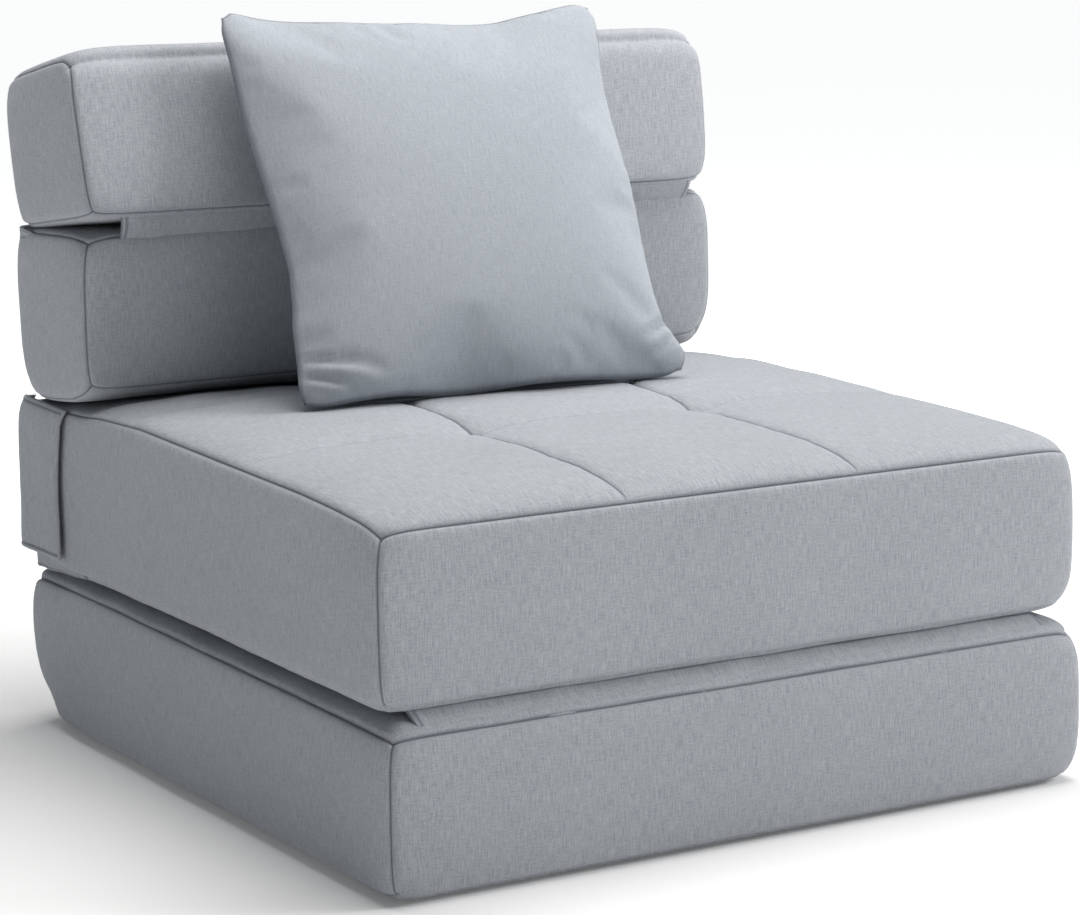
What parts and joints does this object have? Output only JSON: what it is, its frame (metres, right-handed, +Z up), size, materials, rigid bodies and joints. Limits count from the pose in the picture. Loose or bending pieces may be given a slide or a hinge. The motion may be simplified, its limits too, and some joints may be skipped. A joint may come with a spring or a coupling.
{
  "type": "convertible chair bed",
  "caption": "Armless foam chair whose stacked blocks unfold on fabric hinges into a flat single bed, with a quilted seat, side flaps and a loose square pillow.",
  "frame": {"origin": "middle of the floor rectangle under the whole chair, on the floor", "axes": "+Z up, -Y towards the front of the chair, +X towards the viewer's right when looking at the front"},
  "size_m": [0.77, 0.856, 0.7571],
  "materials": {
    "cover_fabric": "matte",
    "foam": "matte",
    "bottom_cloth": "matte",
    "hook_tape": "matte",
    "loop_tape": "matte",
    "pillow_filling": "matte",
    "zip_plastic": "satin",
    "zip_metal": "satin"
  },
  "bodies": {
    "base": {"base_cover": "cover_fabric", "base_foam_core": "foam", "base_bottom_panel": "bottom_cloth", "base_zip_chain": "zip_plastic", "front_hinge_strip": "cover_fabric"},
    "seat": {"seat_cover": "cover_fabric", "seat_foam_core": "foam", "seat_quilted_top": "cover_fabric", "seat_zip_chain": "zip_plastic", "rear_panel": "cover_fabric", "left_loop_tape": "loop_tape", "right_loop_tape": "loop_tape", "rear_hinge_strip": "cover_fabric"},
    "lower_back": {"lower_back_cover": "cover_fabric", "lower_back_foam_core": "foam", "lower_back_zip_chain": "zip_plastic", "back_hinge_strip": "cover_fabric"},
    "upper_back": {"upper_back_cover": "cover_fabric", "upper_back_foam_core": "foam", "upper_back_zip_chain": "zip_plastic"},
    "pillow": {"pillow_cover": "cover_fabric", "pillow_insert": "pillow_filling", "pillow_zip_chain": "zip_plastic"},
    "left_flap": {"left_side_flap": "cover_fabric", "left_hook_tape": "hook_tape"},
    "right_flap": {"right_side_flap": "cover_fabric", "right_hook_tape": "hook_tape"},
    "base_zip": {"base_zip_slider": "zip_metal", "base_zip_pull": "zip_metal"},
    "seat_zip": {"seat_zip_slider": "zip_metal", "seat_zip_pull": "zip_metal"},
    "lower_back_zip": {"lower_back_zip_slider": "zip_metal", "lower_back_zip_pull": "zip_metal"},
    "upper_back_zip": {"upper_back_zip_slider": "zip_metal", "upper_back_zip_pull": "zip_metal"},
    "pillow_zip": {"pillow_zip_slider": "zip_metal", "pillow_zip_pull": "zip_metal"}
  },
  "joints": [
    {"name": "seat_unfold", "type": "hinge", "parent": "base", "child": "seat", "pos_m": [0, -0.428, 0.1765], "axis": [1, 0, 0], "range_deg": [0, 179.9], "deforming": ["front_hinge_strip"]},
    {"name": "lower_back_unfold", "type": "hinge", "parent": "seat", "child": "lower_back", "pos_m": [0, 0.422, 0.354], "axis": [-1, 0, 0], "range_deg": [0, 180], "deforming": ["rear_hinge_strip"]},
    {"name": "upper_back_fold", "type": "hinge", "parent": "lower_back", "child": "upper_back", "pos_m": [0, 0.206, 0.547], "axis": [1, 0, 0], "range_deg": [0, 190.5], "deforming": ["back_hinge_strip"]},
    {"name": "pillow_lift_off", "type": "slide", "parent": "lower_back", "child": "pillow", "axis": [0, -0.94, 0.3412], "range_m": [0, 0.8987]},
    {"name": "left_flap_open", "type": "hinge", "parent": "seat", "child": "left_flap", "pos_m": [-0.38225, 0.422, 0.274], "axis": [0, 0, -1], "range_deg": [0, 100]},
    {"name": "right_flap_open", "type": "hinge", "parent": "seat", "child": "right_flap", "pos_m": [0.38225, 0.422, 0.274], "axis": [0, 0, 1], "range_deg": [0, 100]},
    {"name": "base_zip_open", "type": "slide", "parent": "base", "child": "base_zip", "axis": [-1, 0, 0], "range_m": [0, 0.65]},
    {"name": "seat_zip_open", "type": "slide", "parent": "seat", "child": "seat_zip", "axis": [-1, 0, 0], "range_m": [0, 0.65]},
    {"name": "lower_back_zip_open", "type": "slide", "parent": "lower_back", "child": "lower_back_zip", "axis": [-1, 0, 0], "range_m": [0, 0.65]},
    {"name": "upper_back_zip_open", "type": "slide", "parent": "upper_back", "child": "upper_back_zip", "axis": [-1, 0, 0], "range_m": [0, 0.65]},
    {"name": "pillow_zip_open", "type": "slide", "parent": "pillow", "child": "pillow_zip", "axis": [-0.9974, 0.0715, 0], "range_m": [0, 0.31]}
  ],
  "couplings": [
    {"joint": "lower_back_unfold", "follows": "seat_unfold", "ratio": 1},
    {"joint": "pillow_lift_off", "follows": "upper_back_fold", "m_per_rad": 0.27}
  ]
}
